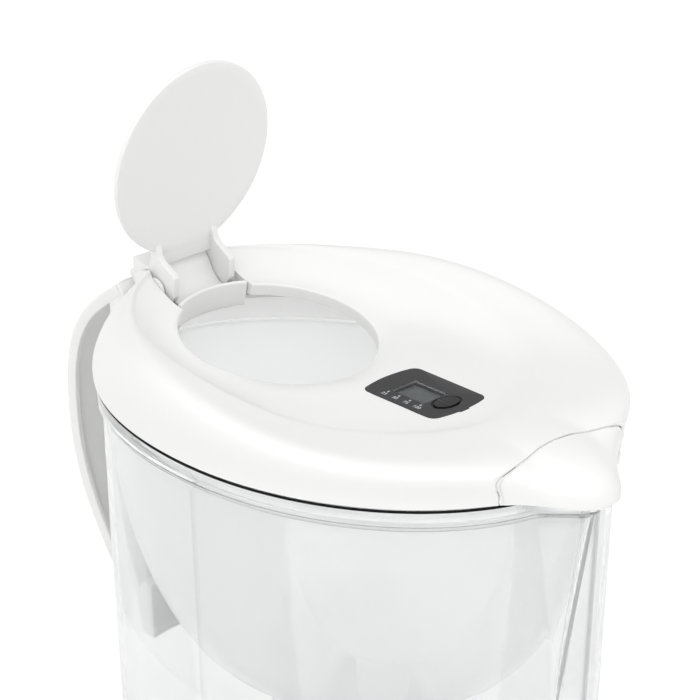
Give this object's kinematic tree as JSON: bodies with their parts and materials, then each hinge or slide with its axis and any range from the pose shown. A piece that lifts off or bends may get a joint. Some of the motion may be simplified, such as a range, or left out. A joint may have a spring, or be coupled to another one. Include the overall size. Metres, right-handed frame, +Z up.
{
  "type": "water filter pitcher",
  "caption": "Clear filter jug with a side handle, a lift-out hopper holding a cartridge, and a white lid with a flip-up fill cap, a hinged spout cover and a filter timer.",
  "frame": {"origin": "centre of the bounding box in plan, on the table under the jug", "axes": "+X towards the pouring spout, +Z up, so the handle is on -X and Y runs across"},
  "size_m": [0.259, 0.1622, 0.3457],
  "materials": {
    "clear_styrene": "clear, polished",
    "white_gloss": "gloss white polypropylene",
    "hopper_frost": "translucent, softly glossy",
    "seal_rubber": "soft silicone",
    "filter_white": "fine matt",
    "mesh_grey": "woven mesh",
    "carbon": "granular",
    "timer_dark": "satin, fine texture",
    "lcd_lens": "clear lens",
    "lcd_glass": "grey display",
    "button_dark": "satin",
    "dome_steel": "pressed steel",
    "board_green": "solder mask",
    "cell_steel": "nickel-plated steel",
    "clip_brass": "spring strip",
    "back_grey": "fine matt"
  },
  "bodies": {
    "jug_body": {"jug": "clear_styrene", "handle": "white_gloss"},
    "hopper_body": {"hopper": "hopper_frost", "hopper_seal": "seal_rubber"},
    "filter_body": {"filter_case": "filter_white", "filter_cap": "filter_white", "filter_top_mesh": "mesh_grey", "filter_media": "carbon", "filter_bottom_mesh": "mesh_grey", "filter_ring": "seal_rubber"},
    "lid_body": {"lid_shell": "white_gloss", "hinge_block": "white_gloss", "timer_plate": "timer_dark", "timer_window": "lcd_lens", "timer_display": "lcd_glass", "snap_dome": "dome_steel", "circuit_board": "board_green", "coin_cell": "cell_steel", "cell_clip": "clip_brass", "timer_back": "back_grey"},
    "flip_cap": {"flip_cap": "white_gloss"},
    "spout_cover": {"spout_cover": "white_gloss"},
    "start_button": {"start_button": "button_dark"}
  },
  "joints": [
    {"name": "hopper_lift", "type": "slide", "parent": "jug_body", "child": "hopper_body", "axis": [0, 0, 1], "range_m": [0, 0.18]},
    {"name": "filter_lift", "type": "slide", "parent": "hopper_body", "child": "filter_body", "axis": [0, 0, 1], "range_m": [0, 0.06]},
    {"name": "lid_lift", "type": "slide", "parent": "hopper_body", "child": "lid_body", "axis": [0, 0, 1], "range_m": [0, 0.06]},
    {"name": "cap_hinge", "type": "hinge", "parent": "lid_body", "child": "flip_cap", "pos_m": [-0.07425, 0, 0.2613], "axis": [0, 1, 0], "range_deg": [0, 90.8]},
    {"name": "cover_hinge", "type": "hinge", "parent": "lid_body", "child": "spout_cover", "pos_m": [0.10815, 0, 0.2452], "axis": [0, 1, 0], "range_deg": [-50, 0]},
    {"name": "button_press", "type": "slide", "parent": "lid_body", "child": "start_button", "axis": [-0.0314, 0, -0.9995], "range_m": [0, 0.0006], "stiffness_N_per_m": 1500}
  ]
}
